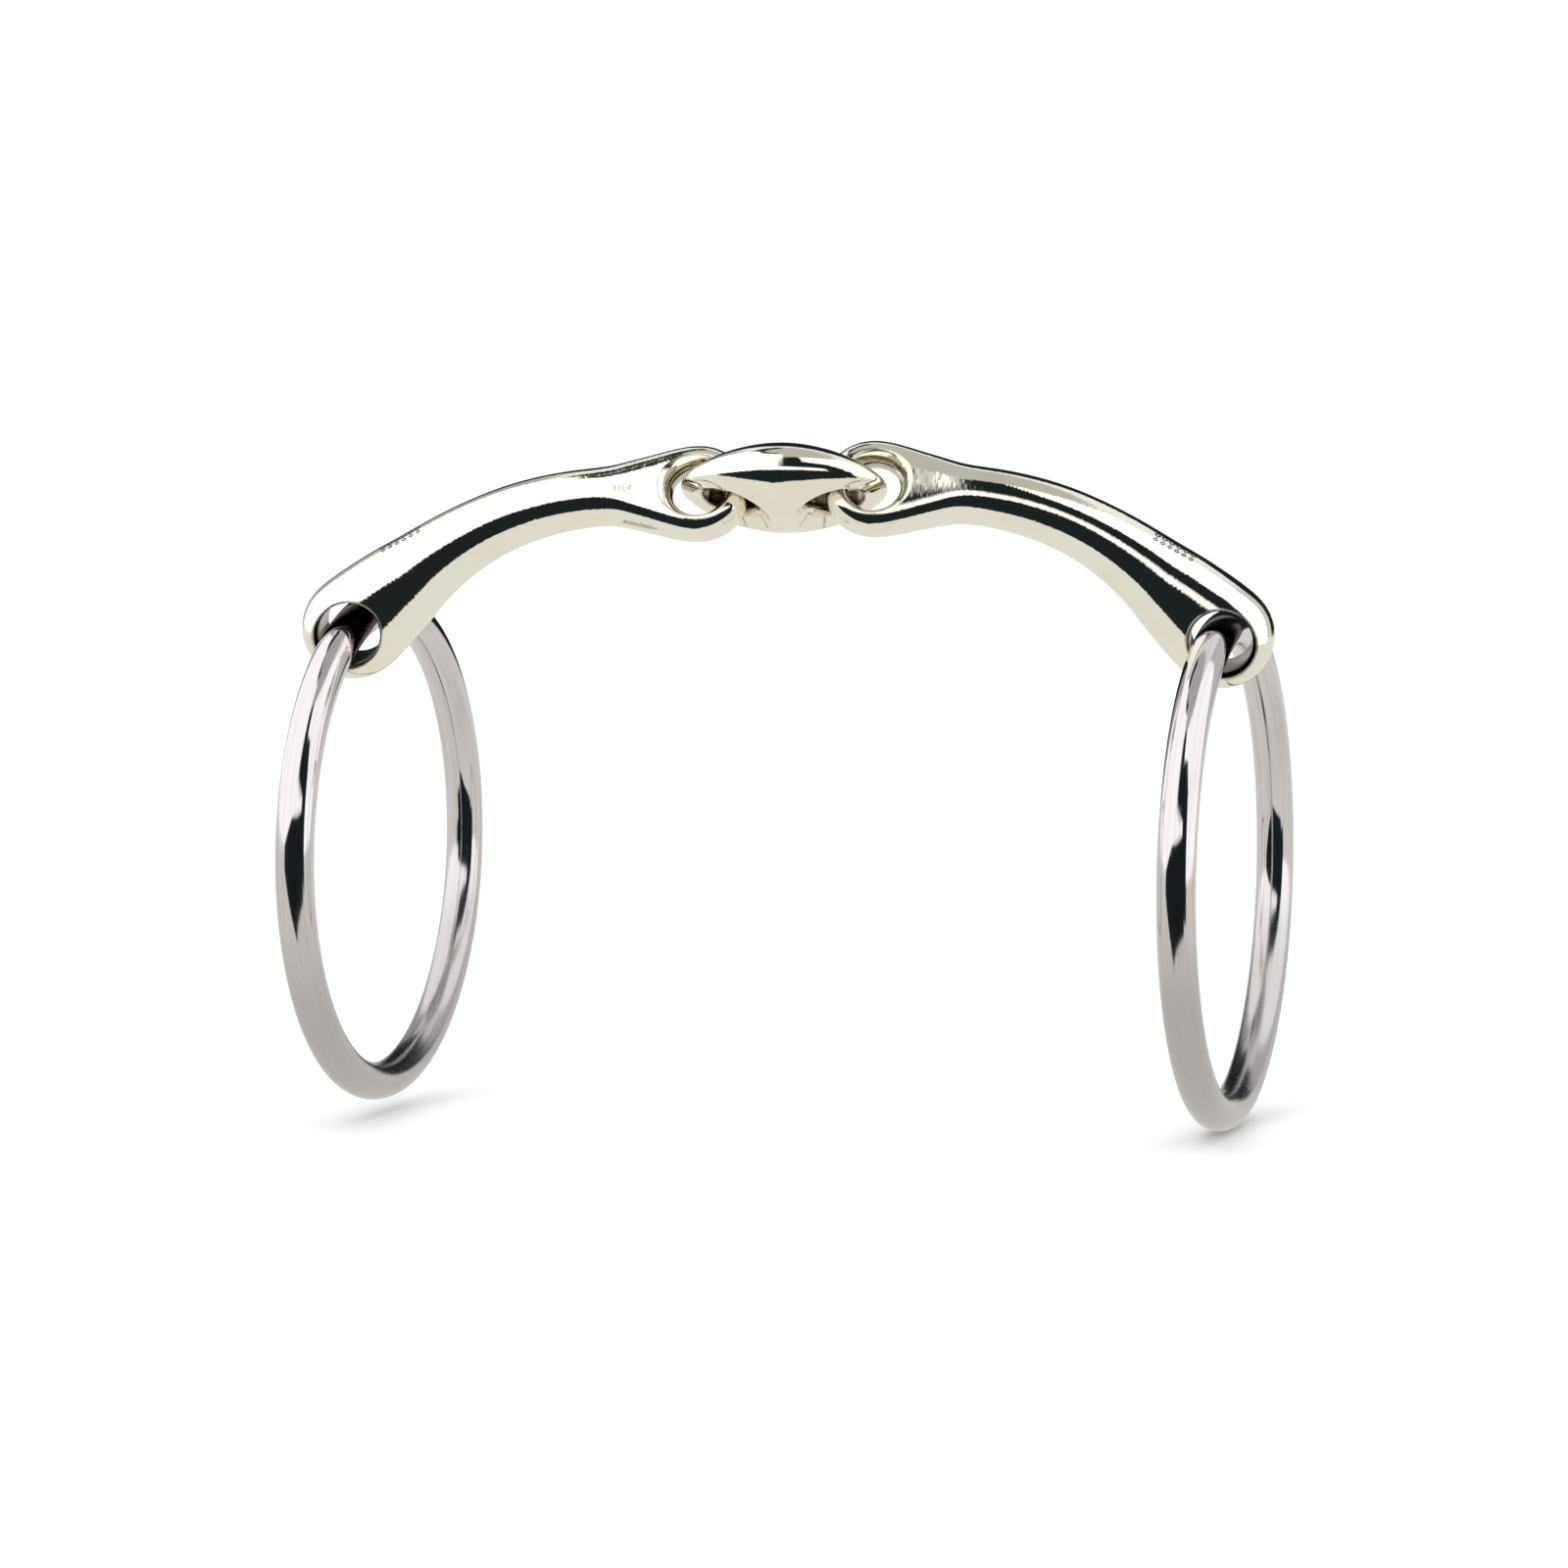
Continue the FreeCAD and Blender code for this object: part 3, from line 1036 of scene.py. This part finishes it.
@dataclass
class Studio:
    """The table, the light and the camera."""

    tent: LightTent
    table_level: float
    camera_distance: float = 0.80
    camera_bearing: float = 6.0
    camera_height: float = 4.7
    aim: Point = (0.0, 0.0, -42.5 * MM)
    lens: float = 127.8
    table_radius: float = 6.0
    paper: Colour = (0.93, 0.93, 0.925)
    paper_fibre: Colour = (0.91, 0.91, 0.905)
    paper_roughness: float = 0.9
    room_strength: float = 1.14
    lamp_place: Point = (-0.25, -0.15, 1.0)
    lamp_size: float = 1.1
    lamp_energy: float = 3.0

    def table(self) -> bpy.types.Object:
        """Makes the table: a disc of rings, its radius growing as the square of the ring's share.

        Returns:
            The table, staged.
        """
        share, turn = np.meshgrid(np.linspace(0.0, 1.0, 25), np.linspace(0.0, 2.0 * np.pi, 97), indexing="ij")
        reach = self.table_radius * share ** 2
        level = np.full(share.shape, self.table_level)
        points = np.stack([reach * np.cos(turn), reach * np.sin(turn), level], axis=-1)
        surface = Surface("table_paper", metallic=0.0)
        surface.shader.inputs["Specular IOR Level"].default_value = 0.1
        fibre = surface.graph.noise(surface.place, 700.0, 3.0)
        made = surface.coat(surface.graph.blend(fibre, self.paper, self.paper_fibre), self.paper_roughness)
        table = mesh_object("table", points, grid_faces(share.shape)[..., ::-1], made)
        table.visible_glossy = False
        table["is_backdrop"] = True
        return table

    def light(self) -> None:
        """Sets the even light of the room and one broad lamp over the table."""
        world = bpy.data.worlds.new("room")
        world.use_nodes = True
        backdrop = world.node_tree.nodes["Background"]
        backdrop.inputs["Color"].default_value = (1.0, 1.0, 1.0, 1.0)
        backdrop.inputs["Strength"].default_value = self.room_strength
        bpy.context.scene.world = world
        lamp = bpy.data.lights.new("overhead", "AREA")
        lamp.size = self.lamp_size
        lamp.energy = self.lamp_energy
        held = bpy.data.objects.new("overhead", lamp)
        held.location = self.lamp_place
        held.rotation_mode = "QUATERNION"
        held.rotation_quaternion = (Vector(self.aim) - held.location).to_track_quat("-Z", "Y")
        held.visible_glossy = False
        held.visible_camera = False
        bpy.context.scene.collection.objects.link(held)

    def camera(self) -> None:
        """Places the camera by its distance, bearing and height, looking at the aim."""
        turn, rise = math.radians(self.camera_bearing), math.radians(self.camera_height)
        back = Vector((math.cos(rise) * math.sin(turn), -math.cos(rise) * math.cos(turn), math.sin(rise)))
        data = bpy.data.cameras.new("camera")
        data.lens = self.lens
        data.sensor_width = 36.0
        data.clip_start, data.clip_end = 0.01, 30.0
        held = bpy.data.objects.new("camera", data)
        held.location = Vector(self.aim) + back * self.camera_distance
        held.rotation_mode = "QUATERNION"
        held.rotation_quaternion = (-back).to_track_quat("-Z", "Y")
        bpy.context.scene.collection.objects.link(held)
        bpy.context.scene.camera = held

    def build(self) -> None:
        """Sets up everything round the bit."""
        self.table()
        self.tent.build()
        self.light()
        self.camera()
        bpy.context.scene.view_settings.view_transform = "Standard"


WHITE: Colour = (1.30, 1.30, 1.27)
DARK: Colour = (0.012, 0.018, 0.019)
CEILING: Colour = (0.50, 0.50, 0.48)

TENT_PANELS = (
    # the ceiling over everything, and its dark seam over the left soft box
    Panel(CEILING, ((-184, 63), (184, 63)), ((-184, 95), (184, 95)), 6.0),
    Panel(DARK, ((-168, 62), (-30, 75)), ((-168, 72), (-30, 80)), 3.0),
    # dim walls at the two far ends
    Panel((0.42, 0.42, 0.41), ((-152, -4), (-126, -4)), ((-152, 50), (-126, 60)), 8.0),
    Panel((0.62, 0.62, 0.60), ((112, -4), (142, -4)), ((112, 50), (142, 30)), 8.0),
    # the left soft box
    Panel(WHITE, ((-132, -2), (-58, -4), (-8, 12)), ((-132, 60), (-110, 73), (-8, 73)), 3.0),
    # the hazy left edge of the dark room between the boxes, and that room running down to the right
    Panel(DARK, ((-5, 28), (12, 22)), ((-5, 62), (12, 62)), 9.0),
    Panel(DARK, ((3, 26), (32, 15), (50, -20), (62, -20)), ((3, 62), (30, 63), (62, 42)), 3.0),
    # the strip of the left soft box that shows under the dark room
    Panel(WHITE, ((-20, 10), (0, 11), (10, 12), (33, 11)),
          ((-20, 33), (0, 23), (10, 17.5), (33, 14.5)), 3.0),
    # the right soft box
    Panel(WHITE, ((18, 46), (42, 38), (54, 20), (60, -9), (116, -9)), ((18, 62), (90, 62), (116, 50)), 3.0),
    # the dark room over the back edge of the paper
    Panel(DARK, ((140, -5), (186, -5)), ((140, 30), (160, 52), (186, 54)), 4.0),
    Panel(DARK, ((-186, -5), (-150, -5)), ((-186, 54), (-165, 52), (-150, 30)), 4.0),
    # whoever stands behind the camera, and the gap before the table's edge
    Panel(DARK, ((-54, -12), (-30, -30), (-12, -42), (10, -34), (50, -24)),
          ((-54, -4), (-20, 9), (50, 9)), 2.5),
)

# how far each ring's plane is turned about the vertical from the YZ plane
RING_YAW = {Side.LEFT: math.radians(10.9), Side.RIGHT: math.radians(10.3)}


def main() -> None:
    """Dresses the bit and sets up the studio."""
    bpy.context.view_layer.update()
    cad_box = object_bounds()
    effects = Effects.build()
    Mouthpiece(MirrorAlloy(), StruckMetal()).dress(effects)
    for side, yaw in RING_YAW.items():
        LooseRing(side, yaw, DrawnSteel()).dress(effects)
    Studio(LightTent(TENT_PANELS), table_level=cad_box[0].z).build()
    bpy.context.view_layer.update()


if __name__ == "__main__":
    main()
